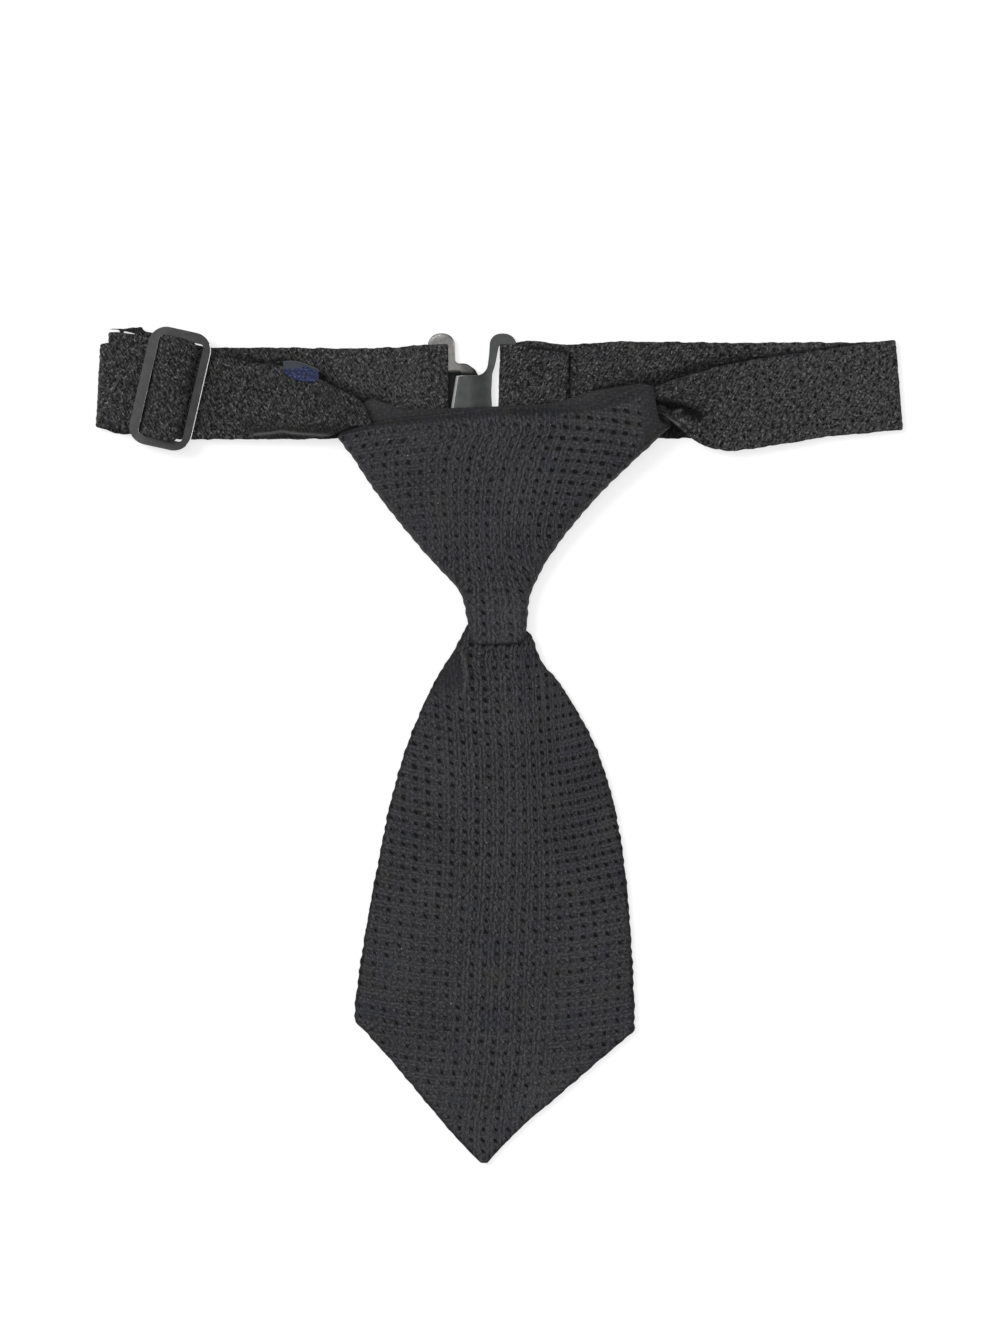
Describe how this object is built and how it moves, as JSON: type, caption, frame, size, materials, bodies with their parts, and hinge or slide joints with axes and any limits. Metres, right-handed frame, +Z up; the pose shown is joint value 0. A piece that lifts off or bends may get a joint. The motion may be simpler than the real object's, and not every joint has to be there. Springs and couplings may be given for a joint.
{
  "type": "pre-tied silk necktie with adjustable clasp band",
  "caption": "Small pre-tied silk necktie lying flat: pointed blade, hollow knot, adjustable neck band with slider and hook-and-eye clasp.",
  "frame": {"origin": "on the surface the tie lies on, below the middle of the whole", "axes": "+Z up from the surface towards the face of the knot, +Y from the blade's point towards the neck band, +X towards the right of the tie as seen from above"},
  "size_m": [0.1788, 0.1855, 0.0091],
  "materials": {
    "silk": "black open-woven silk with rows of small holes, soft sheen",
    "band_silk": "the same black silk cut on the bias, rougher and matt",
    "slider_black": "matt black paint, lightly worn along its edges",
    "clasp_metal": "dark gunmetal, satin, brighter along its folded edges",
    "label_blue": "plain dark blue woven tape"
  },
  "bodies": {
    "root": {"blade": "silk", "knot": "silk", "neck_band": "band_silk", "slider": "slider_black", "clasp_eye": "clasp_metal", "clasp_hook": "clasp_metal", "label": "label_blue"}
  },
  "joints": []
}
